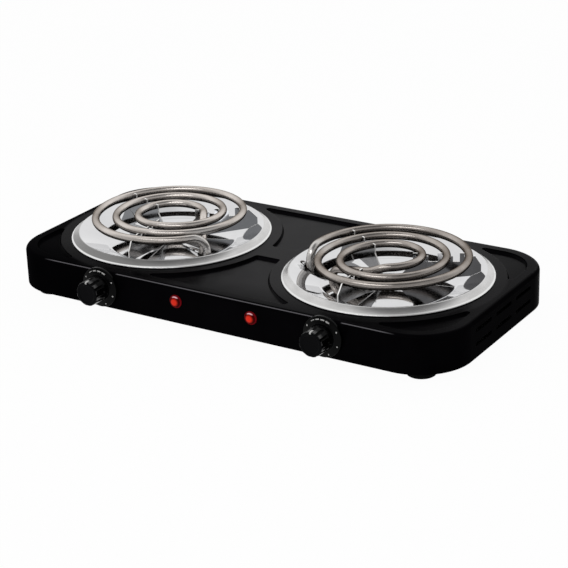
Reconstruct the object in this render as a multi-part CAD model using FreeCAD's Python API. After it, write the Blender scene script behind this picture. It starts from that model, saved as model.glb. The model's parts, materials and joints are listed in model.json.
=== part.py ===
import FreeCAD, Part
import math
import os

V = FreeCAD.Vector

# Double electric hot plate, in millimetres. +X runs along the body to the right, the knobs face -Y,
# and Z is up from the surface that the feet stand on.

# Body: a pressed top with a turned-down edge, on a wall band that is open below
body_length = 456.0
body_depth = 220.0
corner_radius = 48.0
skirt_height = 34.5
body_sheet = 0.8
top_edge_radius = 4.0

# Shallow recesses pressed into the top
recess_border = 11.0
recess_depth = 2.5
recess_slope = 1.5
recess_tip_radius = 3.0
recess_edge_share = 0.3
recess_slope_share = 0.6
ring_margin = 10.0
bridge_width = 25.0

# Vent slots in the side walls
vent_columns = 3
vent_pitch = 38.5
vent_length = 30.0
vent_height = 3.6
vent_heights = (20.5, 33.0)

# Feet, base plate and their screws
foot_height = 10.0
foot_radius = 13.0
foot_top_radius = 11.5
foot_end_inset = 34.0
foot_side_inset = 25.0
foot_well_radius = 5.0
foot_web = 5.0
base_sheet = 0.8
base_gap = 0.4
base_inset = 2.0
base_vents = 5
base_vent_length = 60.0
base_vent_width = 3.6
base_vent_pitch = 14.0
lug_corner_gap = 7.0
lug_width = 16.0
lug_height = 12.0
lug_leg = 14.0
lug_sheet = 1.2
base_screw_inset = 9.0
screw_radius = 1.5
screw_head_radius = 2.8
screw_head_height = 1.6
screw_grip = 4.0

# Clearances
thread_gap = 0.05
hole_gap = 0.2
seat_gap = 0.3
running_gap = 0.05

# Burner places: the first ring's start, the travel to its step inwards and the first support arm,
# all in degrees about each burner, then how far the last ring tightens and sinks before its tail
burner_spacing = 232.0
coil_start_angle = {"left": -39.5, "right": -178.0}
step_start_angle = {"left": 251.0, "right": 252.0}
arm_start_angle = {"left": -83.0, "right": -92.5}
tail_pinch = {"left": 0.0, "right": 3.0}
tail_sink = {"left": 0.0, "right": 6.5}

# Drip tray
tray_radius = 94.0
tray_sheet = 0.6
hem_width = 2.4
hem_height = 1.5
crest_radius = 87.0
crest_height = 6.5
crest_bend = 2.0
bowl_radius = 60.0
bowl_drop = 6.5
bowl_bend = 8.0
burner_hole_radius = 82.0

# Heating coil: rings that step inwards once a turn, a tail that dips under them, and two legs
tube_diameter = 7.2
coil_rise = 18.0
ring_radii = (70.4, 51.2, 30.6)
step_sweep_angle = 154.0
coil_sweep_angle = 1008.0
pinch_start_angle = 840.0
pinch_sweep_angle = 100.0
sink_sweep_angle = 50.0
heading_step_angle = 0.01
coil_span_count = 12
coil_path_step = 1.0
leg_bend = 14.0
tail_run = 41.4
tail_lead = 5.0
tail_slope_angle = 23.0
tail_bend = 22.0
inner_leg_bend = 10.0
leg_end_z = 29.0
leg_slot_gap = 2.0
insulator_radius = 3.0
insulator_length = 5.0
pin_radius = 1.5
pin_length = 5.0
terminal_plate_z = 31.0
terminal_plate_sheet = 1.5
terminal_plate_margin = 4.0

# Coil support, bolt, nut and strap
arm_count = 3
arm_sheet = 1.2
arm_reach = 81.0
arm_foot = 9.0
arm_drop = 5.2
arm_corner_drop = 8.0
hub_radius = 13.0
hub_sheet = 1.2
tab_width = 4.0
tab_drop = 0.8
cradle_width = 1.5
bolt_radius = 2.5
hex_flats = 8.0
bolt_head_height = 3.5
nut_height = 4.0
bolt_tail = 2.0
strap_width = 18.0
strap_sheet = 2.0
strap_flat = 6.0
strap_seat = 2.0
strap_end = 13.0

# Knobs and thermostats
shaft_z = 27.8
shaft_radius = 3.0
shaft_flat = 0.7
shaft_inside = 14.0
collar_radius = 4.5
collar_length = 1.8
knob_gap = 1.2
knob_length = 21.5
skirt_radius = 18.5
skirt_thickness = 3.0
neck_length = 6.5
grip_radius = 12.0
grip_front_radius = 11.0
grip_edge = 1.2
flute_count = 12
flute_radius = 1.6
knob_bore_depth = 14.0
knob_boss_radius = 5.5
knob_hollow_radius = 14.0
knob_hollow_depth = 3.0
bush_radius = 4.5
bush_length = 8.0
bush_proud = 1.0
frame_sheet = 1.2
frame_width = 30.0
frame_above = 10.0
frame_below = 12.5
rail_width = 12.0
rail_length = 34.0
thermostat_screw_pitch = 20.0
stack_y = 28.0
ceramic_radius = 4.5
ceramic_height = 4.0
blade_sheet = 0.5
blade_width = 7.0
blade_starts = (12.0, 16.0)
blade_end = 36.0
rivet_radius = 1.5
rivet_head_radius = 3.0
rivet_head_height = 1.0

# Pilot lamps
lamp_spacing = 78.0
lamp_offset = 4.4
lamp_z = 28.9
lens_radius = 6.0
lens_flange = 1.2
lens_dome = 2.8
barrel_radius = 4.4
barrel_length = 11.0
lens_bore_radius = 3.2
lens_front_wall = 0.5
clip_radius = 7.0
clip_sheet = 1.5
bulb_radius = 2.6
bulb_length = 9.0
bulb_base_length = 2.0

# Cord inlet and wiring
gland_z = 25.0
gland_flange_radius = 9.0
gland_flange = 3.0
gland_barrel_radius = 7.0
gland_barrel_length = 9.0
gland_bore_radius = 3.6
gland_nut_radius = 10.0
gland_nut_height = 4.0
block_length = 46.0
block_depth = 16.0
block_height = 14.0
block_wall_gap = 27.2
block_screw_x = 7.5
lead_radius = 1.2
lead_entry = 5.0
lead_places = {"live": 18.0, "neutral": 11.0, "lamp": 4.0}
lead_floor = 2.7
live_level = 9.7
live_turn = 25.0
live_approach = 23.0
load_approach = 14.0
load_offset = 12.0
load_rise = 1.0
neutral_turn = 12.0
neutral_approach = 28.0
lamp_lead_pitch = 4.0
lamp_approach = 11.0
lamp_reach = 30.0
lamp_link_level = 13.2
lamp_catch = 19.0
lamp_return = 16.0
lamp_turn = -20.0
lamp_level = 7.2
lamp_block_approach = 26.0
bend_share = 0.45
largest_lead_bend = 40.0

# Places worked out from the sizes above
base_z = foot_height
base_top = base_z + base_sheet
skirt_z = base_z - base_inset
top_z = skirt_z + skirt_height
under_top = top_z - body_sheet
seam_z = top_z - top_edge_radius
wall_out = -body_depth / 2
wall_in = wall_out + body_sheet
back_out = body_depth / 2
back_in = back_out - body_sheet
floor_z = top_z - bowl_drop
crest_z = top_z + crest_height
coil_z = top_z + coil_rise
tube_radius = tube_diameter / 2
hub_top = floor_z + hub_sheet
knob_back = wall_out - knob_gap
foot_x = body_length / 2 - foot_end_inset
foot_y = body_depth / 2 - foot_side_inset
lug_x = body_length / 2 - corner_radius - lug_width / 2 - lug_corner_gap
block_y = back_in - block_wall_gap - block_depth
burner_x = {"left": -burner_spacing / 2, "right": burner_spacing / 2}
lamp_x = {"left": lamp_offset - lamp_spacing / 2, "right": lamp_offset + lamp_spacing / 2}
sides = ("left", "right")
full_turn = 360.0
overshoot = 1.0

# The origin is in the middle of the overall footprint, knobs and gland included.
origin_shift = V(0, (knob_gap + knob_length - gland_flange) / 2, 0)

INWARD = V(0, 1, 0)
UP = V(0, 0, 1)


def unit(vector):
    return V(vector).normalize()


def box(x0, x1, y0, y1, z0, z1):
    return Part.makeBox(x1 - x0, y1 - y0, z1 - z0, V(x0, y0, z0))


def post(x, y, radius, z0, z1):
    """Upright cylinder between two heights."""
    return Part.makeCylinder(radius, z1 - z0, V(x, y, z0), UP)


def rod(x, z, radius, y0, y1):
    """Cylinder that lies along Y."""
    return Part.makeCylinder(radius, y1 - y0, V(x, y0, z), INWARD)


def hexagon(x, y, z0, z1):
    corners = []
    for step in range(7):
        angle = math.radians(60 * step)
        reach = hex_flats / math.sqrt(3)
        corners.append(V(x + reach * math.cos(angle), y + reach * math.sin(angle), z0))
    return Part.Face(Part.makePolygon(corners)).extrude(V(0, 0, z1 - z0))


def edges_along(shape, direction):
    """Straight edges of a shape that run along a direction."""
    found = []
    for edge in shape.Edges:
        if isinstance(edge.Curve, Part.Line):
            if abs(edge.tangentAt(edge.FirstParameter).dot(direction)) > 0.999:
                found.append(edge)
    return found


def edges_at(shape, z):
    """Edges of a shape that lie at one height."""
    found = []
    for edge in shape.Edges:
        if abs(edge.BoundBox.ZMin - z) < 1e-3 and abs(edge.BoundBox.ZMax - z) < 1e-3:
            found.append(edge)
    return found


def rounded_block(length, depth, radius, z0, z1):
    """Upright block with a rounded rectangle as its plan, centred on the body."""
    block = box(-length / 2, length / 2, -depth / 2, depth / 2, z0, z1)
    return block.makeFillet(radius, edges_along(block, UP))


def capsule(start, end, radius, z0, z1):
    """Upright solid whose plan is a slot with round ends."""
    along = V(end.x - start.x, end.y - start.y, 0)
    across = unit(V(-along.y, along.x, 0)) * radius
    first = V(start.x, start.y, z0) + across
    corners = [first, first + along, first + along - across * 2, first - across * 2, first]
    middle = Part.Face(Part.makePolygon(corners)).extrude(V(0, 0, z1 - z0))
    return middle.fuse([post(start.x, start.y, radius, z0, z1), post(end.x, end.y, radius, z0, z1)])


def tangent_arc(start, direction, end):
    """Arc from start, where it runs along direction, to end."""
    chord = end - start
    bisector = unit(unit(direction) + unit(chord))
    half = chord.Length / (2 * bisector.dot(unit(chord)))
    return Part.Arc(start, start + bisector * half, end).toShape()


def rounded_path(points, radii):
    """Straight runs through points, joined at each inner corner by a tangent arc."""
    edges = []
    here = points[0]
    for corner, after, radius in zip(points[1:-1], points[2:], radii):
        into = unit(corner - here)
        out = unit(after - corner)
        reach = radius * math.tan(into.getAngle(out) / 2)
        start = corner - into * reach
        end = corner + out * reach
        if (start - here).Length > 1e-6:
            edges.append(Part.LineSegment(here, start).toShape())
        edges.append(tangent_arc(start, into, end))
        here = end
    if (points[-1] - here).Length > 1e-6:
        edges.append(Part.LineSegment(here, points[-1]).toShape())
    return edges


def biarc(start, start_direction, end, end_direction):
    """Two tangent arcs between two points with given directions."""
    chord = end - start
    total = start_direction + end_direction
    spread = 2 * (1 - start_direction.dot(end_direction))
    dot = chord.dot(total)
    reach = (math.sqrt(dot * dot + spread * chord.dot(chord)) - dot) / spread
    joint = (start + start_direction * reach + end - end_direction * reach) * 0.5
    first = tangent_arc(start, start_direction, joint)
    return [first, tangent_arc(joint, first.tangentAt(first.LastParameter), end)]


def tube(edges, radius):
    """Solid round bar along a path of tangent edges."""
    first = edges[0]
    start = first.valueAt(first.FirstParameter)
    section = Part.Wire(Part.makeCircle(radius, start, first.tangentAt(first.FirstParameter)))
    pipe = Part.BRepOffsetAPI.MakePipeShell(Part.Wire(edges))
    pipe.add(section)
    pipe.build()
    pipe.makeSolid()
    return pipe.shape()


def turned(edges, centre_x):
    """Solid of revolution about the upright axis of a burner, from a profile in the XZ plane."""
    face = Part.Face(Part.Wire(edges))
    solid = face.revolve(V(0, 0, 0), UP, full_turn)
    solid.translate(V(centre_x, 0, 0))
    return solid


def turned_on_shaft(profile, x, z, y):
    """Solid of revolution about an axis along -Y, from (distance forward, radius) points."""
    points = [V(radius, -forward, 0) for forward, radius in profile]
    face = Part.Face(Part.makePolygon(points + points[:1]))
    solid = face.revolve(V(0, 0, 0), INWARD, full_turn)
    solid.translate(V(x, y, z))
    return solid


def save(name, shape):
    placed = shape.copy()
    placed.translate(origin_shift)
    placed.exportStep("parts/" + name + ".step")


def bridge_edge():
    """Length of the recess edge that runs along the bridge, between the rings of the two burners."""
    ring = tray_radius + ring_margin
    return burner_spacing - 2 * math.sqrt(ring ** 2 - bridge_width ** 2 / 4)


def recess_blanks(grow):
    """The recesses in the top, each grown on every side: in the corners and between the burners."""
    recess_z = top_z - recess_depth - grow
    tip_radius = min(recess_tip_radius, recess_edge_share * bridge_edge())
    slope = min(recess_slope, recess_slope_share * tip_radius)
    inset = 2 * (recess_border - grow)
    plan_radius = corner_radius - recess_border + grow
    low = recess_z - overshoot
    high = top_z + 2 * overshoot
    half_bridge = bridge_width / 2 - grow
    field = rounded_block(body_length - inset, body_depth - inset, plan_radius, recess_z, top_z + overshoot)
    keep = [box(-burner_spacing / 2, burner_spacing / 2, -half_bridge, half_bridge, low, high)]
    for x in burner_x.values():
        keep.append(post(x, 0, tray_radius + ring_margin - grow, low, high))
    blanks = []
    for solid in field.cut(keep).Solids:
        rounded = solid.makeFillet(tip_radius + grow, sharp_uprights(solid))
        blanks.append(rounded.makeChamfer(slope, edges_at(rounded, recess_z)))
    return blanks


def sharp_uprights(solid):
    """Upright edges where two faces of a recess meet at an angle."""
    found = []
    for edge in edges_along(solid, UP):
        first, second = solid.ancestorsOfType(edge, Part.Face)
        point = edge.valueAt((edge.FirstParameter + edge.LastParameter) / 2)
        normals = [face.normalAt(*face.Surface.parameter(point)) for face in (first, second)]
        if abs(normals[0].dot(normals[1])) < 0.999:
            found.append(edge)
    return found


def housing_shell():
    """The whole body before it is parted at its seam."""
    outer = rounded_block(body_length, body_depth, corner_radius, skirt_z, top_z)
    outer = outer.makeFillet(top_edge_radius, edges_at(outer, top_z))
    inner = rounded_block(body_length - 2 * body_sheet, body_depth - 2 * body_sheet,
                          corner_radius - body_sheet, skirt_z - overshoot, under_top)
    inner = inner.makeFillet(top_edge_radius - body_sheet, edges_at(inner, under_top))
    shell = outer.cut(inner.cut(recess_blanks(body_sheet)))
    cuts = recess_blanks(0)
    for side in sides:
        x = burner_x[side]
        cuts.append(post(x, 0, burner_hole_radius, under_top - recess_depth - overshoot, top_z + overshoot))
        cuts.append(rod(x, shaft_z, bush_radius + hole_gap, wall_out - overshoot, wall_in + overshoot))
        cuts.append(rod(lamp_x[side], lamp_z, barrel_radius + hole_gap,
                        wall_out - overshoot, wall_in + overshoot))
        for screw_x in thermostat_screw_places(x):
            cuts.append(rod(screw_x, shaft_z, screw_radius + hole_gap,
                            wall_out - overshoot, wall_in + overshoot))
    cuts.append(rod(0, gland_z, gland_barrel_radius + hole_gap, back_in - overshoot, back_out + overshoot))
    for z in vent_heights:
        for column in range(vent_columns):
            y = (column - (vent_columns - 1) / 2) * vent_pitch
            cuts.append(side_vent(y, z))
    return shell.cut(cuts)


def above_seam():
    return box(-body_length, body_length, -body_depth, body_depth, seam_z, top_z + overshoot)


def housing_top():
    return housing_shell().common(above_seam())


def housing_wall():
    return housing_shell().cut(above_seam())


def side_vent(y, z):
    """Slot with round ends through both side walls."""
    reach = body_length / 2 + overshoot
    slot = box(-reach, reach, y - vent_length / 2, y + vent_length / 2,
               z - vent_height / 2, z + vent_height / 2)
    return slot.makeFillet(vent_height / 2 - thread_gap, edges_along(slot, V(1, 0, 0)))


def foot_places():
    return {"front_left": (-foot_x, -foot_y), "front_right": (foot_x, -foot_y),
            "back_left": (-foot_x, foot_y), "back_right": (foot_x, foot_y)}


def lug_places():
    """Lug centres on the walls, each with the direction into the body."""
    places = []
    for x in (-lug_x, lug_x):
        places.append((x, wall_in, 1))
        places.append((x, back_in, -1))
    return places


def base_screw_places():
    return [(x, y + inward * base_screw_inset) for x, y, inward in lug_places()]


def base_plate():
    edge = 2 * (body_sheet + base_gap)
    plate = rounded_block(body_length - edge, body_depth - edge, corner_radius - edge / 2, base_z, base_top)
    cuts = []
    low = base_z - overshoot
    high = base_top + overshoot
    for x, y in foot_places().values():
        cuts.append(post(x, y, screw_radius + thread_gap, low, high))
    for x, y in base_screw_places():
        cuts.append(post(x, y, screw_radius + hole_gap, low, high))
    for x in (-block_screw_x, block_screw_x):
        cuts.append(post(x, block_y + block_depth / 2, screw_radius + thread_gap, low, high))
    for centre in burner_x.values():
        for row in range(base_vents):
            y = (row - (base_vents - 1) / 2) * base_vent_pitch
            half = V((base_vent_length - base_vent_width) / 2, 0, 0)
            middle = V(centre, y, 0)
            cuts.append(capsule(middle - half, middle + half, base_vent_width / 2, low, high))
    return plate.cut(cuts)


def base_lugs():
    lugs = []
    for x, wall, inward in lug_places():
        y_upright = sorted((wall, wall + inward * lug_sheet))
        y_flat = sorted((wall, wall + inward * lug_leg))
        left, right = x - lug_width / 2, x + lug_width / 2
        upright = box(left, right, *y_upright, base_top, base_top + lug_height)
        flat = box(left, right, *y_flat, base_top, base_top + lug_sheet)
        hole = post(x, wall + inward * base_screw_inset, screw_radius + thread_gap,
                    base_top - overshoot, base_top + lug_sheet + overshoot)
        lugs.append(upright.fuse(flat).removeSplitter().cut(hole))
    return Part.makeCompound(lugs)


def upright_screw(x, y, head_z, tip_z):
    """Screw driven upwards: its head hangs below head_z and its shank ends at tip_z."""
    head = post(x, y, screw_head_radius, head_z - screw_head_height, head_z)
    return head.fuse(post(x, y, screw_radius, head_z, tip_z)).removeSplitter()


def base_screws():
    tip = base_top + lug_sheet + screw_grip
    return Part.makeCompound([upright_screw(x, y, base_z, tip) for x, y in base_screw_places()])


def foot(x, y):
    body = Part.makeCone(foot_radius, foot_top_radius, foot_height, V(x, y, 0), UP)
    well = post(x, y, foot_well_radius, -overshoot, foot_height - foot_web)
    hole = post(x, y, screw_radius + hole_gap, -overshoot, foot_height + overshoot)
    return body.cut([well, hole])


def foot_screws():
    head_z = foot_height - foot_web
    tip = base_top + screw_grip
    return Part.makeCompound([upright_screw(x, y, head_z, tip) for x, y in foot_places().values()])


def tray_profile():
    """Upper line of the tray in the XZ plane, from the bolt hole out to the hem."""
    points = [V(bolt_radius + hole_gap, 0, floor_z), V(bowl_radius, 0, floor_z),
              V(crest_radius, 0, crest_z), V(tray_radius, 0, top_z + hem_height)]
    return points, [bowl_bend, crest_bend]


def tray_slope_z(radius):
    """Height of the tray's sloping wall at a radius."""
    return floor_z + (crest_z - floor_z) * (radius - bowl_radius) / (crest_radius - bowl_radius)


def drip_tray(side, coil):
    upper, bends = tray_profile()
    drop = V(0, 0, -tray_sheet)
    lower = [point + drop for point in upper]
    edges = rounded_path(upper, bends) + [Part.LineSegment(upper[-1], lower[-1]).toShape()]
    edges += rounded_path(lower[::-1], bends[::-1]) + [Part.LineSegment(lower[0], upper[0]).toShape()]
    tray = turned(edges, burner_x[side])
    hem = post(burner_x[side], 0, tray_radius, top_z, top_z + hem_height)
    hem = hem.cut(post(burner_x[side], 0, tray_radius - hem_width, top_z - overshoot, crest_z))
    slot = capsule(*coil_legs(coil), tube_radius + leg_slot_gap, base_z, crest_z)
    return tray.fuse(hem).removeSplitter().cut(slot)


def ring_radius(side, travel):
    """Radius of a coil after a travel in degrees: level rings with one smooth step inwards a turn."""
    radius = ring_radii[0]
    for turn in range(len(ring_radii) - 1):
        step = ring_radii[turn] - ring_radii[turn + 1]
        radius -= step * eased((travel - step_start_angle[side] - full_turn * turn) / step_sweep_angle)
    return radius - tail_pinch[side] * eased((travel - pinch_start_angle) / pinch_sweep_angle)


def eased(share):
    """Share that starts and ends gently, held between nought and one."""
    share = min(max(share, 0.0), 1.0)
    return share * share * (3.0 - 2.0 * share)


def coil_path(side):
    """Centre line of a coil, the points where its legs stand, and points along it."""

    def place(travel):
        angle = math.radians(coil_start_angle[side] - travel)
        radius = ring_radius(side, travel)
        return V(burner_x[side] + radius * math.cos(angle), radius * math.sin(angle), coil_z)

    def heading(travel):
        return unit(place(travel + heading_step_angle) - place(travel - heading_step_angle))

    first = place(0.0)
    outer_corner = first - heading(0.0) * leg_bend
    outer_end = V(outer_corner.x, outer_corner.y, leg_end_z)
    edges = rounded_path([outer_end, outer_corner, first], [leg_bend])
    level_sweep = coil_sweep_angle - sink_sweep_angle
    for span in range(coil_span_count):
        begin = level_sweep * span / coil_span_count
        end = level_sweep * (span + 1) / coil_span_count
        edges += biarc(place(begin), heading(begin), place(end), heading(end))
    last = place(coil_sweep_angle)
    away = heading(coil_sweep_angle)
    inner_corner = last + away * tail_run
    inner_corner.z -= (tail_run - tail_lead) * math.tan(math.radians(tail_slope_angle))
    inner_end = V(inner_corner.x, inner_corner.y, leg_end_z)
    if tail_sink[side]:
        last.z -= tail_sink[side]
        away = unit(inner_corner - last)
        tail = rounded_path([last, inner_corner, inner_end], [inner_leg_bend])
    else:
        tail_points = [last, last + away * tail_lead, inner_corner, inner_end]
        tail = rounded_path(tail_points, [tail_bend, inner_leg_bend])
    edges += biarc(place(level_sweep), heading(level_sweep), last, away) + tail
    points = Part.Wire(edges).discretize(Distance=coil_path_step)
    return {"edges": edges, "points": points, "outer_leg": outer_end, "inner_leg": inner_end}


def least_gap(points, diameter):
    """Least clear gap between stretches of a tube that lie well apart along it."""
    apart = int(4 * diameter / (points[1] - points[0]).Length)
    least = body_length
    for index in range(0, len(points), 2):
        for other in range(index + apart, len(points), 2):
            least = min(least, (points[index] - points[other]).Length)
    return least - diameter


def heating_coil(side, coil):
    solid = tube(coil["edges"], tube_radius)
    length = sum(edge.Length for edge in coil["edges"])
    share = solid.Volume / (math.pi * tube_radius ** 2 * length)
    gap = least_gap(coil["points"], tube_diameter)
    print("coil", side, "length", round(length), "volume share", round(share, 4), "least gap", round(gap, 2))
    return solid


def arm_crossings(side, points, angle):
    """Places where the coil passes over an arm: radius, point and direction."""
    along = V(math.cos(math.radians(angle)), math.sin(math.radians(angle)), 0)
    across = V(-along.y, along.x, 0)
    centre = V(burner_x[side], 0, 0)
    found = []
    for here, after in zip(points, points[1:]):
        begin = (here - centre).dot(across)
        end = (after - centre).dot(across)
        radius = (here - centre).dot(along)
        if radius > 0 and begin * end <= 0 and begin != end:
            point = here + (after - here) * (begin / (begin - end))
            found.append(((point - centre).dot(along), point, unit(after - here)))
    return found


def support_arm(side, points, angle):
    """Upright sheet arm: foot on the tray's wall, a cradle and an inner tab at each ring."""
    crossings = arm_crossings(side, points, angle)
    notch_radius = tube_radius + seat_gap
    rings = [radius for radius, point, direction in crossings if abs(point.z - coil_z) < seat_gap]
    arm_top = coil_z - arm_drop
    tab_top = coil_z + tube_radius - tab_drop
    foot_inner = arm_reach - arm_foot
    shoulder = max(rings) + notch_radius + cradle_width
    outline = [V(hub_radius / 2, 0, floor_z), V(hub_radius, 0, floor_z),
               V(foot_inner, 0, tray_slope_z(foot_inner) + seat_gap),
               V(arm_reach, 0, tray_slope_z(arm_reach) + seat_gap),
               V(arm_reach, 0, coil_z - arm_corner_drop), V(shoulder, 0, coil_z),
               V(max(rings), 0, coil_z), V(max(rings), 0, arm_top),
               V(min(rings) - notch_radius - tab_width, 0, arm_top), V(hub_radius / 2, 0, hub_top)]
    outline = Part.Face(Part.makePolygon(outline + outline[:1]))
    arm = outline.extrude(V(0, arm_sheet, 0))
    cradles = []
    for radius in rings:
        inner = radius - notch_radius - tab_width
        outer = radius + notch_radius + cradle_width
        cradles.append(box(inner, radius, 0, arm_sheet, arm_top, tab_top))
        cradles.append(box(inner, outer, 0, arm_sheet, arm_top, coil_z))
    arm = arm.fuse(cradles).removeSplitter()
    arm.translate(V(0, -arm_sheet / 2, 0))
    arm.rotate(V(0, 0, 0), UP, angle)
    arm.translate(V(burner_x[side], 0, 0))
    for radius, point, direction in crossings:
        arm = arm.cut([notch(point, direction, notch_radius), open_slot(point, direction, notch_radius)])
    return arm


def notch(point, direction, radius):
    """Round seat for a tube that passes through a sheet."""
    reach = 3 * arm_sheet + radius
    return Part.makeCylinder(radius, 2 * reach, point - direction * reach, direction)


def open_slot(point, direction, radius):
    """Room above a seat, so that the tube drops in from the top."""
    level = unit(V(direction.x, direction.y, 0))
    reach = 3 * arm_sheet + radius
    across = V(-level.y, level.x, 0) * radius
    first = point - level * reach + across
    along = level * 2 * reach
    corners = [first, first + along, first + along - across * 2, first - across * 2, first]
    return Part.Face(Part.makePolygon(corners)).extrude(V(0, 0, coil_z + tube_diameter - point.z))


def coil_support(side, coil):
    hub = post(burner_x[side], 0, hub_radius, floor_z, hub_top)
    arms = []
    for index in range(arm_count):
        arms.append(support_arm(side, coil["points"], arm_start_angle[side] + full_turn * index / arm_count))
    hole = post(burner_x[side], 0, bolt_radius + hole_gap, floor_z - overshoot, coil_z)
    return hub.fuse(arms).removeSplitter().cut(hole)


def strap_z():
    """Upper face of the strap's flat middle, against the tray."""
    return floor_z - tray_sheet


def centre_bolt(side):
    x = burner_x[side]
    tip = strap_z() - strap_sheet - nut_height - bolt_tail
    head = hexagon(x, 0, hub_top, hub_top + bolt_head_height)
    return head.fuse(post(x, 0, bolt_radius, tip, hub_top)).removeSplitter()


def centre_nut(side):
    x = burner_x[side]
    high = strap_z() - strap_sheet
    nut = hexagon(x, 0, high - nut_height, high)
    return nut.cut(post(x, 0, bolt_radius + thread_gap, high - nut_height - overshoot, high + overshoot))


def tray_strap(side):
    """Joggled bar: its middle bears on the tray and its ends on the body, from below."""
    flat = bowl_radius + strap_flat
    seat = burner_hole_radius + strap_seat
    half = [(0, strap_z()), (flat, strap_z()), (seat, under_top), (seat + strap_end, under_top)]
    line = [(-x, z) for x, z in half[:0:-1]] + half
    upper = [V(x, -strap_width / 2, z) for x, z in line if x]
    lower = [point - V(0, 0, strap_sheet) for point in upper[::-1]]
    bar = Part.Face(Part.makePolygon(upper + lower + upper[:1])).extrude(V(0, strap_width, 0))
    hole = post(0, 0, bolt_radius + hole_gap, floor_z - top_z, top_z)
    bar = bar.cut(hole)
    bar.translate(V(burner_x[side], 0, 0))
    return bar


def coil_legs(coil):
    return [coil["outer_leg"], coil["inner_leg"]]


def terminal_plate(coil):
    high = terminal_plate_z + terminal_plate_sheet
    plate = capsule(*coil_legs(coil), tube_radius + terminal_plate_margin, terminal_plate_z, high)
    holes = [post(leg.x, leg.y, tube_radius + hole_gap, terminal_plate_z - overshoot, high + overshoot)
             for leg in coil_legs(coil)]
    return plate.removeSplitter().cut(holes)


def pin_end_z():
    return leg_end_z - insulator_length - pin_length


def terminal_insulators(coil):
    low = leg_end_z - insulator_length
    return Part.makeCompound([
        post(leg.x, leg.y, insulator_radius, low, leg_end_z) for leg in coil_legs(coil)])


def terminal_pins(coil):
    high = leg_end_z - insulator_length
    return Part.makeCompound([
        post(leg.x, leg.y, pin_radius, pin_end_z(), high) for leg in coil_legs(coil)])


def shaft_section(x, radius, flat, y0, y1):
    """Round bar along Y with a flat on its lower side."""
    bar = rod(x, shaft_z, radius, y0, y1)
    flat_z = shaft_z - radius + flat
    return bar.cut(box(x - radius, x + radius, y0 - overshoot, y1 + overshoot, shaft_z - 2 * radius, flat_z))


def knob(side):
    x = burner_x[side]
    profile = [(0, 0), (0, skirt_radius), (skirt_thickness, skirt_radius), (neck_length, grip_radius),
               (knob_length - grip_edge, grip_front_radius), (knob_length, grip_front_radius - grip_edge),
               (knob_length, 0)]
    body = turned_on_shaft(profile, x, shaft_z, knob_back)
    cuts = []
    for index in range(flute_count):
        angle = 2 * math.pi * (index + 0.5) / flute_count
        reach = grip_radius + flute_radius / 2
        cuts.append(rod(x + reach * math.sin(angle), shaft_z + reach * math.cos(angle), flute_radius,
                        knob_back - knob_length - overshoot, knob_back - neck_length))
    hollow = rod(x, shaft_z, knob_hollow_radius, knob_back - knob_hollow_depth, knob_back + overshoot)
    cuts.append(hollow.cut(rod(x, shaft_z, knob_boss_radius, knob_back - knob_length, knob_back + overshoot)))
    bore = shaft_section(x, shaft_radius + running_gap, shaft_flat,
                         knob_back - knob_bore_depth, knob_back + overshoot)
    cuts.append(bore)
    return body.cut(cuts)


def shaft(side):
    x = burner_x[side]
    tip = knob_back - knob_bore_depth + seat_gap
    front = shaft_section(x, shaft_radius, shaft_flat, tip, knob_back)
    bar = front.fuse(rod(x, shaft_z, shaft_radius, knob_back, wall_in + shaft_inside))
    collar_y = wall_in + bush_length + running_gap
    return bar.fuse(rod(x, shaft_z, collar_radius, collar_y, collar_y + collar_length)).removeSplitter()


def thermostat_screw_places(x):
    return (x - thermostat_screw_pitch / 2, x + thermostat_screw_pitch / 2)


def rail_top():
    return shaft_z - frame_below + frame_sheet


def thermostat_frame(side):
    x = burner_x[side]
    low = shaft_z - frame_below
    plate = box(x - frame_width / 2, x + frame_width / 2, wall_in, wall_in + frame_sheet,
                low, shaft_z + frame_above)
    rail = box(x - rail_width / 2, x + rail_width / 2, wall_in, wall_in + rail_length, low, rail_top())
    bush = rod(x, shaft_z, bush_radius, wall_out - bush_proud, wall_in + bush_length)
    cuts = [rod(x, shaft_z, shaft_radius + running_gap, wall_out - body_depth, 0),
            post(x, wall_in + stack_y, rivet_radius + thread_gap, low - overshoot, rail_top() + overshoot)]
    for screw_x in thermostat_screw_places(x):
        cuts.append(rod(screw_x, shaft_z, screw_radius + thread_gap,
                        wall_in - overshoot, wall_in + frame_sheet + overshoot))
    return plate.fuse([rail, bush]).removeSplitter().cut(cuts)


def blade_levels():
    """Lower faces of the two blades in the stack."""
    first = rail_top() + ceramic_height
    return (first, first + blade_sheet + ceramic_height)


def stack_hole(x):
    return post(x, wall_in + stack_y, rivet_radius + thread_gap, base_z, top_z)


def thermostat_ceramics(side):
    x = burner_x[side]
    levels = [rail_top()] + [z + blade_sheet for z in blade_levels()]
    return Part.makeCompound([
        post(x, wall_in + stack_y, ceramic_radius, z, z + ceramic_height).cut(stack_hole(x)) for z in levels])


def thermostat_blades(side):
    x = burner_x[side]
    blades = []
    for z, start in zip(blade_levels(), blade_starts):
        blade = box(x - blade_width / 2, x + blade_width / 2, wall_in + start, wall_in + blade_end,
                    z, z + blade_sheet)
        blades.append(blade.cut(stack_hole(x)))
    return Part.makeCompound(blades)


def thermostat_rivet(side):
    x = burner_x[side]
    y = wall_in + stack_y
    low = shaft_z - frame_below
    high = blade_levels()[1] + blade_sheet + ceramic_height
    return post(x, y, rivet_radius, low, high).fuse([
        post(x, y, rivet_head_radius, low - rivet_head_height, low),
        post(x, y, rivet_head_radius, high, high + rivet_head_height)]).removeSplitter()


def thermostat_screws(side):
    screws = []
    for x in thermostat_screw_places(burner_x[side]):
        head = rod(x, shaft_z, screw_head_radius, wall_out - screw_head_height, wall_out)
        shank = rod(x, shaft_z, screw_radius, wall_out, wall_in + frame_sheet + screw_grip)
        screws.append(head.fuse(shank).removeSplitter())
    return Part.makeCompound(screws)


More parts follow.
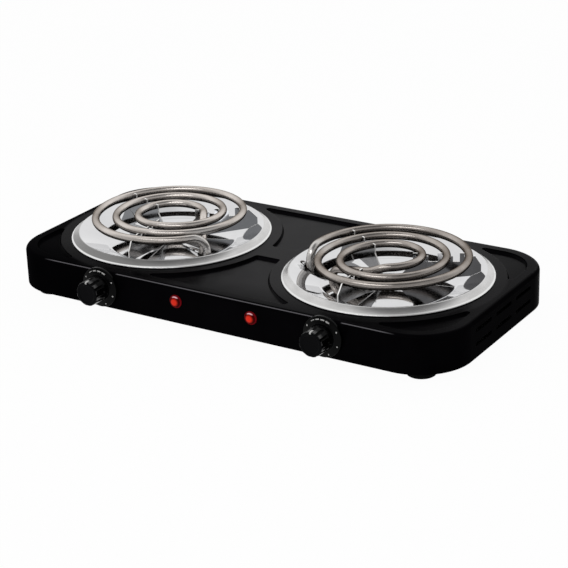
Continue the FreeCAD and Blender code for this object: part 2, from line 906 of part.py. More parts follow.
def lamp_lens(side):
    """Domed lens with a hollow barrel that goes through the front wall."""
    rim = wall_out - lens_flange
    back = wall_in + barrel_length
    tip = V(0, rim - lens_dome, 0)
    corners = [V(lens_radius, rim, 0), V(lens_radius, wall_out, 0), V(barrel_radius, wall_out, 0),
               V(barrel_radius, back, 0), V(lens_bore_radius, back, 0),
               V(lens_bore_radius, rim + lens_front_wall, 0), V(0, rim + lens_front_wall, 0), tip]
    edges = [tangent_arc(tip, V(1, 0, 0), corners[0])] + Part.makePolygon(corners).Edges
    lens = Part.Face(Part.Wire(edges)).revolve(V(0, 0, 0), INWARD, full_turn)
    lens.translate(V(lamp_x[side], 0, lamp_z))
    return lens


def lamp_clip(side):
    x = lamp_x[side]
    ring = rod(x, lamp_z, clip_radius, wall_in, wall_in + clip_sheet)
    return ring.cut(rod(x, lamp_z, barrel_radius + thread_gap, wall_in - overshoot, wall_in + barrel_length))


def bulb_back():
    return wall_in + barrel_length + bulb_base_length


def lamp_bulb(side):
    x = lamp_x[side]
    seat = wall_in + barrel_length
    glass = rod(x, lamp_z, bulb_radius, seat - bulb_length + bulb_radius, seat)
    tip = Part.makeSphere(bulb_radius, V(x, seat - bulb_length + bulb_radius, lamp_z))
    return rod(x, lamp_z, barrel_radius, seat, bulb_back()).fuse([glass, tip]).removeSplitter()


def cord_gland():
    flange = rod(0, gland_z, gland_flange_radius, back_out, back_out + gland_flange)
    barrel = rod(0, gland_z, gland_barrel_radius, back_in - gland_barrel_length, back_out)
    bore = rod(0, gland_z, gland_bore_radius, 0, body_depth)
    return flange.fuse(barrel).removeSplitter().cut(bore)


def gland_nut():
    nut = rod(0, gland_z, gland_nut_radius, back_in - gland_nut_height, back_in)
    return nut.cut(rod(0, gland_z, gland_barrel_radius + thread_gap, 0, body_depth))


def terminal_block():
    block = box(-block_length / 2, block_length / 2, block_y, block_y + block_depth,
                base_top, base_top + block_height)
    holes = [post(x, block_y + block_depth / 2, screw_radius + hole_gap, base_z, top_z)
             for x in (-block_screw_x, block_screw_x)]
    return block.cut(holes)


def block_screws():
    y = block_y + block_depth / 2
    high = base_top + block_height
    screws = []
    for x in (-block_screw_x, block_screw_x):
        head = post(x, y, screw_head_radius, high, high + screw_head_height)
        screws.append(head.fuse(post(x, y, screw_radius, base_z, high)).removeSplitter())
    return Part.makeCompound(screws)


def lead(points):
    """Insulated wire through points, with the largest bend that each pair of runs leaves room for."""
    radii = []
    for before, corner, after in zip(points, points[1:], points[2:]):
        half_turn = (corner - before).getAngle(after - corner) / 2
        run = min((corner - before).Length, (after - corner).Length)
        radii.append(min(bend_share * run / math.tan(half_turn), largest_lead_bend))
    return tube(rounded_path(points, radii), lead_radius)


def block_entry(side, way):
    """Point at the terminal block's front face where a lead goes in."""
    sign = -1 if side == "left" else 1
    return V(sign * lead_places[way], block_y - seat_gap, base_top + lead_entry)


def live_lead(side):
    entry = block_entry(side, "live")
    tail = V(burner_x[side], wall_in + blade_end, blade_levels()[1] + blade_sheet / 2)
    level = base_top + live_level
    return lead([entry, V(entry.x, live_turn, level), V(tail.x, -live_turn, level),
                 V(tail.x, tail.y + live_approach, tail.z), tail])


def load_lead(side, coil):
    leg = coil["outer_leg"]
    low = base_top + lead_floor
    tail = V(burner_x[side], wall_in + blade_end, blade_levels()[0] + blade_sheet / 2)
    middle_x = (tail.x + 2 * leg.x) / 3
    return lead([tail, V(tail.x, tail.y + load_approach, tail.z),
                 V(middle_x, leg.y - load_offset, low + load_rise),
                 V(leg.x, leg.y, low), V(leg.x, leg.y, pin_end_z())])


def neutral_lead(side, coil):
    leg = coil["inner_leg"]
    low = base_top + lead_floor
    entry = block_entry(side, "neutral")
    return lead([V(leg.x, leg.y, pin_end_z()), V(leg.x, leg.y, low),
                 V((leg.x + 2 * entry.x) / 3, neutral_turn, low),
                 V(entry.x, entry.y - neutral_approach, entry.z), entry])


def lamp_leads(side):
    """One lead from the lamp to the thermostat's lower blade and one to the terminal block."""
    sign = -1 if side == "left" else 1
    outer = V(lamp_x[side] + sign * lamp_lead_pitch / 2, bulb_back(), lamp_z)
    inner = V(lamp_x[side] - sign * lamp_lead_pitch / 2, bulb_back(), lamp_z)
    blade_side = burner_x[side] - sign * (blade_width / 2 + seat_gap)
    blade_z = blade_levels()[0] + blade_sheet / 2
    entry = block_entry(side, "lamp")
    turn_y = outer.y + lamp_approach
    to_blade = lead([outer, V(outer.x, turn_y, lamp_z),
                     V(outer.x + sign * lamp_reach, turn_y, base_top + lamp_link_level),
                     V(blade_side, wall_in + lamp_catch, blade_z)])
    to_block = lead([inner, V(inner.x, inner.y + lamp_return, lamp_z),
                     V(entry.x, lamp_turn, base_top + lamp_level),
                     V(entry.x + sign, entry.y - lamp_block_approach, entry.z), entry])
    return Part.makeCompound([to_blade, to_block])


def build_body():
    save("housing_top", housing_top())
    save("housing_wall", housing_wall())
    save("base_plate", base_plate())
    save("base_lugs", base_lugs())
    save("base_screws", base_screws())
    for name, place in foot_places().items():
        save("foot_" + name, foot(*place))
    save("foot_screws", foot_screws())
    save("cord_gland", cord_gland())
    save("gland_nut", gland_nut())
    save("terminal_block", terminal_block())
    save("block_screws", block_screws())


def build_burner(side):
    coil = coil_path(side)
    save("coil_" + side, heating_coil(side, coil))
    save("drip_tray_" + side, drip_tray(side, coil))
    save("coil_support_" + side, coil_support(side, coil))
    save("terminal_plate_" + side, terminal_plate(coil))
    save("terminal_insulators_" + side, terminal_insulators(coil))
    save("terminal_pins_" + side, terminal_pins(coil))
    save("centre_bolt_" + side, centre_bolt(side))
    save("centre_nut_" + side, centre_nut(side))
    save("tray_strap_" + side, tray_strap(side))
    save("load_lead_" + side, load_lead(side, coil))
    save("neutral_lead_" + side, neutral_lead(side, coil))


def build_control(side):
    save("knob_" + side, knob(side))
    save("shaft_" + side, shaft(side))
    save("thermostat_frame_" + side, thermostat_frame(side))
    save("thermostat_ceramics_" + side, thermostat_ceramics(side))
    save("thermostat_blades_" + side, thermostat_blades(side))
    save("thermostat_rivet_" + side, thermostat_rivet(side))
    save("thermostat_screws_" + side, thermostat_screws(side))
    save("lamp_lens_" + side, lamp_lens(side))
    save("lamp_clip_" + side, lamp_clip(side))
    save("lamp_bulb_" + side, lamp_bulb(side))
    save("live_lead_" + side, live_lead(side))
    save("lamp_leads_" + side, lamp_leads(side))


os.makedirs("parts", exist_ok=True)
build_body()
for side in sides:
    build_burner(side)
    build_control(side)
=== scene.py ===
import json
import math

import bmesh
import bpy
from mathutils import Matrix, Vector


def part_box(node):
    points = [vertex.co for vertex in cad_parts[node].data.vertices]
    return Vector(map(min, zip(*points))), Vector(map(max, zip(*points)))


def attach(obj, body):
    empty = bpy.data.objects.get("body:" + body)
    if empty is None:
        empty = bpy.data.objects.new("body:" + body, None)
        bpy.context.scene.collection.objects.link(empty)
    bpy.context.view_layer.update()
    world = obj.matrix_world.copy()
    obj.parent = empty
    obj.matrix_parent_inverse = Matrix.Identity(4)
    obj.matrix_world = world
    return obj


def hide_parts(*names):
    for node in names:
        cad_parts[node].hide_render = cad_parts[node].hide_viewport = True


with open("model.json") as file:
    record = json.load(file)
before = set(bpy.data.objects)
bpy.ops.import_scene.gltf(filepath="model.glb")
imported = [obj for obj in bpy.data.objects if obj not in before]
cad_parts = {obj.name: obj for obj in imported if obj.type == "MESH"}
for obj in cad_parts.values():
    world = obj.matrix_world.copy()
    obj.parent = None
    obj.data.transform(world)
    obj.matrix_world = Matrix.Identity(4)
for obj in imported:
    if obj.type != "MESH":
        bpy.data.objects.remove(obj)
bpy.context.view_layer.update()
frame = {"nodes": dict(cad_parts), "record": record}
nodes = frame["nodes"]
scene = bpy.context.scene
scene.view_settings.view_transform = "Standard"

MM = 0.001
SIDES = ("left", "right")

# Sizes of the pieces in millimetres, angles in degrees
TRAY = {"radius": 94.0, "sheet": 0.6, "hem": 0.75, "tuck": 1.65, "tuck_height": 1.3, "crest_radius": 87.0,
        "crest_rise": 6.5, "crest_bend": 2.0, "bowl_radius": 60.0, "bowl_drop": 6.5, "bowl_bend": 8.0,
        "bolt_hole": 2.7, "slot_radius": 5.6, "slot_reach": 20.0}
KNOB = {"skirt": 18.5, "skirt_edge": 2.6, "skirt_face": 4.0, "neck": 12.3, "grip": 11.9, "grip_start": 9.0,
        "grip_inset": 0.6, "front": 11.3, "length": 21.3, "edge": 1.3, "rim": 2.86, "dish_slope": 0.52,
        "dish": 0.4, "bore": 4.0, "bore_depth": 3.0}
FLUTE = {"count": 12, "depth": 0.9, "half_radians": 0.13, "start": 9.4, "run_in": 1.6, "stop": 0.2,
         "run_out": 1.0}
MARKS = {"lift": 0.09, "dot_radius": 16.0, "dot_size": 0.7, "dot_angles": (150, 26, -22, -66, -110, -154),
         "bars": 4, "bar_start": 128, "bar_pitch": 18, "bar_span": 13, "bar_inner": 15.7, "bar_outer": 16.3,
         "bar_growth": 0.2}
POINTER = {"half_width": 0.8, "rise": 0.12, "flare": 0.15, "back": 4.5, "front": 1.6, "thickness": 0.6}
LENS = {"radius": 6.0, "bezel": 1.5, "dome_radius": 4.9, "height": 4.0, "seat": 1.0, "barrel": 4.4,
        "depth": 11.0}
BOLT = {"flats": 8.0, "shank": 2.5, "washer": 4.96, "washer_height": 0.5, "chamfer": 0.7, "top_share": 0.86,
        "clamped_sheet": 1.2}
SCREW = {"head": 2.8, "height": 1.6, "head_edge": 0.5, "shank": 1.5, "tip": 1.1, "tip_length": 0.6,
         "recess": 1.5, "slot": 0.42, "recess_depth": 0.95, "recess_taper": 0.7, "overcut": 1.0,
         "apart": 20.0}
FOOT = {"radius": 13.0, "top": 11.5, "height": 10.0, "well": 5.0, "sole": 11.2, "web": 5.0, "hole": 1.7,
        "groove": 0.5, "groove_half": 0.5, "groove_radii": (7.4, 9.8)}
COIL_TUBE = 7.2

# Where a surface's looks change, in millimetres: a pair is where a change starts and where it ends
# The depth, ends, gap and shift entries place a painted highlight along the front top edge and painted knob
# shadows across it
ENAMEL = {"gloss_rise": (-150, -30), "gloss_fall": (90, 215), "tray_ring": (103, 106), "front": (-100, -55),
          "highlight_depth": (3, 4), "highlight_ends": (170, 182), "knob_shadow_gap": (6, 8), "knob_shadow_shift": 9.0,
          "soft_edge": 0.6}
# Reach around the coil's outer legs that is painted paler as if lit, and depth under the rings over which
# painted shade fades in
LIT_LEG_REACH = (10, 24)
UNDERSIDE_SHADE_DEPTH = 5.0
HALVES = (-30, 30)
# Spans of the satin rim, of the hem's painted highlight and of the left rim's painted shade
TRAY_RIM, TRAY_HEM_HIGHLIGHT, TRAY_SHADED_SPAN = (86.2, 87.4), (92.3, 92.8), (45, 76)
# The glint spans place a painted highlight on the lens
LENS_BAND = {"core": (2.2, 4.0), "edge": (4.8, 5.4), "glint_in": (4.0, 4.4), "glint_out": (4.7, 5.0),
             "glint_rise": (3.4, 4.2)}
RIDGE_RADIUS = (10.9, 11.2)
KNOB_BACK = {"front": (1.4, 0.7), "ridge": (6.0, 2.5)}

# Where looks change with the way a surface faces, as parts of its normal
END_WALL = (0.3, 0.6)
# Tilts of the front top bend that take the painted edge highlight
EDGE_HIGHLIGHT_TILT = {"rise": (0.68, 0.74), "fall": (0.82, 0.87), "front": (-0.30, -0.20)}
# Tilts over which the coil's downward faces take painted shade
UNDERSIDE_SHADE_TILT = (-0.35, 0.42)
EDGE_TURN = (0.35, 0.75)

# Shares of gloss and of what dulls it, levels of shine and roughness
GLOSS = {"left": 0.03, "right": 0.30, "front": 0.22, "end_wall": 0.08}
RING_DULLNESS = 0.70
ENAMEL_SHINE = (0.0, 0.028)
KNOB_SHINE, BACK_RIDGE = (0.02, 0.60), 0.06
# Share of the painted underside shade kept near the coil's outer legs
LEG_SHADE_SHARE = 0.15
# Roughness of the support's narrow faces under their painted glint, and of the tray's satin rim
EDGE_GLINT_ROUGH, SATIN_ROUGH = 0.5, 0.24

# Colours that a material mixes into its first two
# Pale colour of the painted highlight along the enamel's front top edge
EDGE_HIGHLIGHT_COLOUR = (0.14, 0.135, 0.145)
# Painted light and shade of the coil: a lighter left coil, paler lit outer legs and a dark painted
# underside
LIT_LEFT_SHEATH = ((0.59, 0.545, 0.508), (0.74, 0.690, 0.650))
LIT_LEG_SHEATH = (0.66, 0.64, 0.62)
UNDERSIDE_SHADE_COLOUR = (0.045, 0.040, 0.037)
LEFT_SUPPORT = (0.42, 0.43, 0.445)
# Painted glint on the support's narrow edge faces
EDGE_GLINT_COLOUR = (0.95, 0.94, 0.92)
KNOB_FRONT = (0.0036, 0.0036, 0.0043)
SATIN_RIM = ((0.54, 0.535, 0.53), (0.64, 0.635, 0.63))
# Painted shade for one side of the left rim and painted highlight for the hem
SHADED_RIM_COLOUR = (0.21, 0.208, 0.205)
HEM_HIGHLIGHT_COLOUR = (0.78, 0.78, 0.775)
# The glint colour is a painted highlight; the rest is the lamp's own glow
LENS_GLOW = {"ring": (0.022, 0.0004, 0.0006), "edge": (0.10, 0.002, 0.005), "core": (0.72, 0.030, 0.014),
             "glint": (0.90, 0.50, 0.56)}

# Studio: the camera's place around the body's middle in millimetres and degrees, floor and lamp in metres
CAMERA = {"azimuth": 32.697, "elevation": 22.201, "roll": -1.864, "distance": 1639.806, "right": 6.194,
          "up": 10.769, "lens": 113.204, "sensor": 36.0}
FLOOR = {"reach": 5.0, "drop": 0.0002, "white_share": 0.97}
WHITE_SIDE, OVERHEAD = (-0.62, 0.78, -0.10), (0.26, -0.05, 0.96)
WHITE_SPAN, OVERHEAD_SPAN, OVERHEAD_SHARE = (-0.20, 0.25), (0.80, 0.93), 0.33
STUDIO_DIM, STUDIO_WHITE = (0.48, 0.48, 0.485), (1.0, 1.0, 1.0)
KEY = {"width": 0.90, "depth": 0.35, "watts": 2.6, "place": (0.02, -0.72, 1.0)}


def centre_of(node):
    low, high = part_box(node)
    return (low + high) / 2


WALL_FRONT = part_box("housing_wall")[0].y
BODY_CENTRE = Vector((0, centre_of("housing_wall").y, 0))
BURNER = {side: Vector((centre_of("drip_tray_" + side).x, BODY_CENTRE.y, 0)) for side in SIDES}
RING_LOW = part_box("coil_left")[1].z - COIL_TUBE * MM


def outer_leg(side):
    """Point of the coil's terminal pins that lies farthest from the burner's axis."""
    points = [vertex.co.copy() for vertex in nodes["terminal_pins_" + side].data.vertices]
    return max(points, key=lambda point: (point.xy - BURNER[side].xy).length)


OUTER_LEG = {side: outer_leg(side) for side in SIDES}


def add_node(tree, kind, settings=None, **values):
    """Node with its settings and the values of its own sockets, whose names have _ for a space."""
    node = tree.nodes.new(kind)
    for name, value in (settings or {}).items():
        setattr(node, name, value)
    for name, value in values.items():
        node.inputs[name.replace("_", " ")].default_value = value
    return node


def feed(tree, socket, source):
    """Links a socket to another one, or sets its own value."""
    if isinstance(source, bpy.types.NodeSocket):
        tree.links.new(source, socket)
    else:
        socket.default_value = source


def source_of(shader, name):
    """Socket that feeds one of the shader's inputs."""
    return shader.inputs[name].links[0].from_socket


def maths(tree, operation, *sources):
    node = add_node(tree, "ShaderNodeMath", {"operation": operation})
    for socket, source in zip(node.inputs, sources):
        feed(tree, socket, source)
    return node.outputs[0]


def product(tree, first, *others):
    for other in others:
        first = maths(tree, "MULTIPLY", first, other)
    return first


def vector_maths(tree, operation, *sources):
    node = add_node(tree, "ShaderNodeVectorMath", {"operation": operation})
    for socket, source in zip(node.inputs, sources):
        feed(tree, socket, source)
    return node.outputs["Value" if operation in ("DOT_PRODUCT", "LENGTH") else "Vector"]


def split(tree, vector):
    """The X, Y and Z of a vector."""
    node = add_node(tree, "ShaderNodeSeparateXYZ")
    feed(tree, node.inputs[0], vector)
    return node.outputs


def object_place(tree, stretch=(1, 1, 1)):
    coordinates = add_node(tree, "ShaderNodeTexCoord")
    mapping = add_node(tree, "ShaderNodeMapping", Scale=stretch)
    feed(tree, mapping.inputs["Vector"], coordinates.outputs["Object"])
    return mapping.outputs["Vector"]


def axis_distance(tree, middle=(0, 0, 0)):
    """Distance from an upright axis through a point of the object's own space."""
    away = vector_maths(tree, "SUBTRACT", object_place(tree), middle)
    flat = vector_maths(tree, "MULTIPLY", away, (1, 1, 0))
    return vector_maths(tree, "LENGTH", flat)


def facing(tree, kind="Normal"):
    return add_node(tree, "ShaderNodeNewGeometry").outputs[kind]


def noise(tree, scale, detail=3.0, stretch=(1, 1, 1)):
    node = add_node(tree, "ShaderNodeTexNoise", Scale=scale, Detail=detail)
    feed(tree, node.inputs["Vector"], object_place(tree, stretch))
    return node.outputs["Fac"]


def remap(tree, source, low, high, from_low=0.3, from_high=0.7):
    """Goes from low to high while its source goes between two values, which by default suit noise."""
    node = add_node(tree, "ShaderNodeMapRange", From_Min=from_low, From_Max=from_high, To_Min=low,
                    To_Max=high)
    feed(tree, node.inputs["Value"], source)
    return node.outputs["Result"]


def ramp(tree, source, span, low=0.0, high=1.0):
    """Goes from low to high while a place goes through a span of millimetres."""
    return remap(tree, source, low, high, span[0] * MM, span[1] * MM)


def opposite(tree, share):
    return remap(tree, share, 1.0, 0.0, 0.0, 1.0)


def left_half(tree):
    """One on the left burner, nought on the right one."""
    return ramp(tree, split(tree, object_place(tree))["X"], HALVES, 1.0, 0.0)


def mix_number(tree, factor, first, second):
    node = add_node(tree, "ShaderNodeMix", {"data_type": "FLOAT"})
    feed(tree, node.inputs["Factor"], factor)
    for socket, number in zip(node.inputs[2:4], (first, second)):
        feed(tree, socket, number)
    return node.outputs[0]


def mix_colour(tree, factor, first, second):
    """Mix of two colours, each of them a socket or three numbers."""
    node = add_node(tree, "ShaderNodeMix", {"data_type": "RGBA"})
    feed(tree, node.inputs["Factor"], factor)
    for socket, colour in zip(node.inputs[6:8], (first, second)):
        feed(tree, socket, colour if isinstance(colour, bpy.types.NodeSocket) else (*colour, 1.0))
    return node.outputs[2]


def drifting(tree, grain, colours, stretch=(1, 1, 1)):
    """Colour that drifts between two with noise."""
    return mix_colour(tree, remap(tree, noise(tree, grain, stretch=stretch), 0.0, 1.0), *colours)


ROUGH_GRAIN, RELIEF_GRAIN, RELIEF_DETAIL = 2.3, 6, 2.0


def surface(name, dark, light, rough, grain, relief=0.0, stretch=(1, 1, 1), **fixed):
    """Surface whose colour, roughness and relief, in millimetres, drift with noise of one grain."""
    material = bpy.data.materials.new(name)
    material.use_nodes = True
    tree = material.node_tree
    shader = tree.nodes["Principled BSDF"]
    for key, value in fixed.items():
        shader.inputs[key.replace("_", " ")].default_value = value
    feed(tree, shader.inputs["Base Color"], drifting(tree, grain, (dark, light), stretch))
    grit = noise(tree, grain * ROUGH_GRAIN, stretch=stretch)
    feed(tree, shader.inputs["Roughness"], remap(tree, grit, *rough))
    if relief:
        bump = add_node(tree, "ShaderNodeBump", Distance=relief * MM, Strength=1.0)
        feed(tree, bump.inputs["Height"], noise(tree, grain * RELIEF_GRAIN, RELIEF_DETAIL, stretch))
        feed(tree, shader.inputs["Normal"], bump.outputs["Normal"])
    return material, tree, shader


def grey(level):
    return (level, level, level)


def plain_looks():
    """Surfaces that need one drift of colour, roughness and relief and no more."""
    return {
        "base_paint": dict(dark=grey(0.010), light=grey(0.016), rough=(0.45, 0.6), grain=60, relief=0.04),
        "plain_steel": dict(dark=grey(0.42), light=(0.54, 0.54, 0.53), rough=(0.28, 0.42), grain=90,
                            relief=0.02, stretch=(1, 6, 1), Metallic=1.0),
        "zinc_steel": dict(dark=(0.52, 0.53, 0.56), light=grey(0.66), rough=(0.22, 0.38), grain=150,
                           Metallic=1.0),
        "foot_rubber": dict(dark=grey(0.003), light=grey(0.005), rough=(0.7, 0.9), grain=200, relief=0.08,
                            Specular_IOR_Level=0.05),
        "gland_plastic": dict(dark=grey(0.010), light=grey(0.016), rough=(0.4, 0.55), grain=200,
                              relief=0.05),
        "block_plastic": dict(dark=(0.66, 0.64, 0.58), light=(0.74, 0.72, 0.66), rough=(0.4, 0.55),
                              grain=120, relief=0.04),
        "ceramic": dict(dark=(0.74, 0.71, 0.64), light=(0.82, 0.80, 0.74), rough=(0.5, 0.7), grain=180,
                        relief=0.05),
        "blade_brass": dict(dark=(0.62, 0.42, 0.17), light=(0.75, 0.55, 0.25), rough=(0.22, 0.36),
                            grain=150, Metallic=1.0),
        "lead_insulation": dict(dark=(0.68, 0.67, 0.62), light=(0.78, 0.77, 0.73), rough=(0.5, 0.7),
                                grain=260, relief=0.06),
        "bulb_glass": dict(dark=(0.90, 0.86, 0.80), light=(0.95, 0.93, 0.90), rough=(0.02, 0.08), grain=60,
                           Transmission_Weight=0.9, IOR=1.45),
        "white_print": dict(dark=(0.42, 0.42, 0.41), light=(0.60, 0.60, 0.58), rough=(0.4, 0.55),
                            grain=300),
    }


def enamel_gloss(tree, place, normal):
    """Share of gloss: most between and around the trays, less at the front and on the end walls."""
    between = product(tree, ramp(tree, place["X"], ENAMEL["gloss_rise"], GLOSS["left"], 1.0),
                      ramp(tree, place["X"], ENAMEL["gloss_fall"], 1.0, GLOSS["right"]))
    duller = opposite(tree, between)
    for side in SIDES:
        ring = ramp(tree, axis_distance(tree, BURNER[side]), ENAMEL["tray_ring"], RING_DULLNESS, 1.0)
        duller = product(tree, duller, ring)
    rear = ramp(tree, place["Y"], ENAMEL["front"], GLOSS["front"], 1.0)
    level = remap(tree, maths(tree, "ABSOLUTE", normal["X"]), 1.0, GLOSS["end_wall"], *END_WALL)
    return product(tree, opposite(tree, duller), product(tree, rear, level))


def painted_edge_highlight(tree, place, normal):
    """Share of the painted highlight: a thin pale line along the front top bend, with a painted knob shadow
    gap by each knob, clear of the ends.
    """
    bend = product(tree, remap(tree, normal["Z"], 0.0, 1.0, *EDGE_HIGHLIGHT_TILT["rise"]),
                   remap(tree, normal["Z"], 1.0, 0.0, *EDGE_HIGHLIGHT_TILT["fall"]))
    depth = maths(tree, "SUBTRACT", place["Y"], WALL_FRONT)
    front = product(tree, remap(tree, normal["Y"], 1.0, 0.0, *EDGE_HIGHLIGHT_TILT["front"]),
                    ramp(tree, depth, ENAMEL["highlight_depth"], 1.0, 0.0))
    ends = ramp(tree, maths(tree, "ABSOLUTE", place["X"]), ENAMEL["highlight_ends"], 1.0, 0.0)
    edge_highlight = product(tree, bend, front, ends)
    for side in SIDES:
        # Painted knob shadow: the highlight line fades out just right of each knob
        knob_shadow_x = centre_of("knob_" + side).x + ENAMEL["knob_shadow_shift"] * MM
        apart = maths(tree, "ABSOLUTE", maths(tree, "SUBTRACT", place["X"], knob_shadow_x))
        edge_highlight = product(tree, edge_highlight, ramp(tree, apart, ENAMEL["knob_shadow_gap"]))
    return edge_highlight


def enamel_material():
    """Black enamel, glossier between the burners, with a painted highlight line along the front top edge,
    broken by painted knob shadows.
    """
    material, tree, shader = surface("enamel", (0.0012, 0.0011, 0.0014), (0.0020, 0.0018, 0.0023),
                                     rough=(0.18, 0.26), grain=30, Specular_Tint=(0.86, 0.72, 1.0, 1.0))
    place = split(tree, object_place(tree))
    normal = split(tree, facing(tree))
    soft = add_node(tree, "ShaderNodeBevel", {"samples": 4}, Radius=ENAMEL["soft_edge"] * MM)
    feed(tree, shader.inputs["Normal"], soft.outputs["Normal"])
    shine = remap(tree, enamel_gloss(tree, place, normal), *ENAMEL_SHINE, 0.0, 1.0)
    feed(tree, shader.inputs["Specular IOR Level"], shine)
    # Painted highlight mixed into the enamel's colour along the front top edge
    edge_highlight = mix_colour(tree, painted_edge_highlight(tree, place, normal), source_of(shader, "Base Color"), EDGE_HIGHLIGHT_COLOUR)
    feed(tree, shader.inputs["Base Color"], edge_highlight)
    return material


def coil_material():
    """Drawn steel sheath with painted shade under its rings; the left coil and the outer legs are painted
    lighter to stand for more light on them.
    """
    material, tree, shader = surface("coil_sheath", (0.37, 0.336, 0.310), (0.50, 0.460, 0.428),
                                     rough=(0.22, 0.30), grain=55, Metallic=1.0,
                                     Specular_Tint=(0.10, 0.09, 0.08, 1.0))
    # The left coil is painted lighter, standing for more light falling on it
    lit_left = drifting(tree, 45, LIT_LEFT_SHEATH)
    unshaded = mix_colour(tree, left_half(tree), source_of(shader, "Base Color"), lit_left)
    # Painted shade: darker where the tube faces down, under its rings
    below = remap(tree, split(tree, facing(tree))["Z"], 1.0, 0.0, *UNDERSIDE_SHADE_TILT)
    height = split(tree, object_place(tree))["Z"]
    rings = remap(tree, height, 0.0, 1.0, RING_LOW - UNDERSIDE_SHADE_DEPTH * MM, RING_LOW)
    below = product(tree, below, rings)
    for side in SIDES:
        # The outer legs are painted paler and keep little painted shade, standing for light on them
        reach = axis_distance(tree, OUTER_LEG[side])
        unshaded = mix_colour(tree, ramp(tree, reach, LIT_LEG_REACH, 1.0, 0.0), unshaded, LIT_LEG_SHEATH)
        below = product(tree, below, ramp(tree, reach, LIT_LEG_REACH, LEG_SHADE_SHARE, 1.0))
    feed(tree, shader.inputs["Base Color"], mix_colour(tree, below, unshaded, UNDERSIDE_SHADE_COLOUR))
    return material


def glint_edges(tree):
    """Share of painted glint: one on the narrow faces of an upright sheet that runs out from its burner's
    middle, else nought.
    """
    half = maths(tree, "SIGN", split(tree, object_place(tree))["X"])
    middle = add_node(tree, "ShaderNodeCombineXYZ", Y=BODY_CENTRE.y)
    feed(tree, middle.inputs["X"], remap(tree, half, BURNER["left"].x, BURNER["right"].x, -1.0, 1.0))
    outwards = vector_maths(tree, "SUBTRACT", object_place(tree), middle.outputs[0])
    across = vector_maths(tree, "NORMALIZE", vector_maths(tree, "CROSS_PRODUCT", outwards, (0, 0, 1)))
    share = vector_maths(tree, "DOT_PRODUCT", across, facing(tree, "True Normal"))
    return remap(tree, maths(tree, "ABSOLUTE", share), 1.0, 0.0, *EDGE_TURN)


def support_material():
    """Polished sheet, lighter on the left burner than on the right, with a painted glint on its narrow edge
    faces.
    """
    material, tree, shader = surface("support_steel", (0.20, 0.20, 0.205), (0.28, 0.28, 0.285),
                                     rough=(0.08, 0.16), grain=40, Metallic=1.0)
    sides = mix_colour(tree, left_half(tree), source_of(shader, "Base Color"), LEFT_SUPPORT)
    # Painted glint mixed into the narrow faces' colour
    edges = glint_edges(tree)
    feed(tree, shader.inputs["Base Color"], mix_colour(tree, edges, sides, EDGE_GLINT_COLOUR))
    rough = mix_number(tree, edges, source_of(shader, "Roughness"), EDGE_GLINT_ROUGH)
    feed(tree, shader.inputs["Roughness"], rough)
    return material


def knob_material():
    """Black plastic: a dull skirt, polished ridges on the grip and a slightly greyer front."""
    material, tree, shader = surface("knob_plastic", (0.0006, 0.0006, 0.0007), (0.0011, 0.0011, 0.0013),
                                     rough=(0.12, 0.20), grain=120)
    height = split(tree, object_place(tree))["Z"]
    span = {key: [KNOB["length"] - back for back in backs] for key, backs in KNOB_BACK.items()}
    front = ramp(tree, height, span["front"])
    greyer = mix_colour(tree, front, source_of(shader, "Base Color"), KNOB_FRONT)
    feed(tree, shader.inputs["Base Color"], greyer)
    ridge = product(tree, ramp(tree, axis_distance(tree), RIDGE_RADIUS),
                    ramp(tree, height, span["ridge"], BACK_RIDGE, 1.0))
    feed(tree, shader.inputs["Specular IOR Level"], remap(tree, ridge, *KNOB_SHINE, 0.0, 1.0))
    return material


def lens_material():
    """Red lens: a lit core behind the dome, a dark ring with a painted pale glint above it and a dim edge.
    """
    material, tree, shader = surface("lens_red", (0.035, 0.0008, 0.0008), (0.06, 0.0012, 0.0012),
                                     rough=(0.05, 0.12), grain=200, Specular_IOR_Level=0.02,
                                     Emission_Strength=0.8)
    reach = axis_distance(tree)
    rise = split(tree, object_place(tree))["Y"]
    edge = ramp(tree, reach, LENS_BAND["edge"])
    core = ramp(tree, reach, LENS_BAND["core"], 1.0, 0.0)
    # Painted glint: a pale arc of glow above the core
    glint = product(tree, ramp(tree, reach, LENS_BAND["glint_in"]),
                    ramp(tree, reach, LENS_BAND["glint_out"], 1.0, 0.0),
                    ramp(tree, rise, LENS_BAND["glint_rise"]))
    dim = mix_colour(tree, edge, LENS_GLOW["ring"], LENS_GLOW["edge"])
    lit = mix_colour(tree, core, dim, LENS_GLOW["core"])
    feed(tree, shader.inputs["Emission Color"], mix_colour(tree, glint, lit, LENS_GLOW["glint"]))
    return material


# Side of the left rim that is darkened with painted shade
SHADED_RIM_ANGLE = math.radians(252)
SHADED_RIM_SIDE = Vector((math.cos(SHADED_RIM_ANGLE), math.sin(SHADED_RIM_ANGLE), 0))


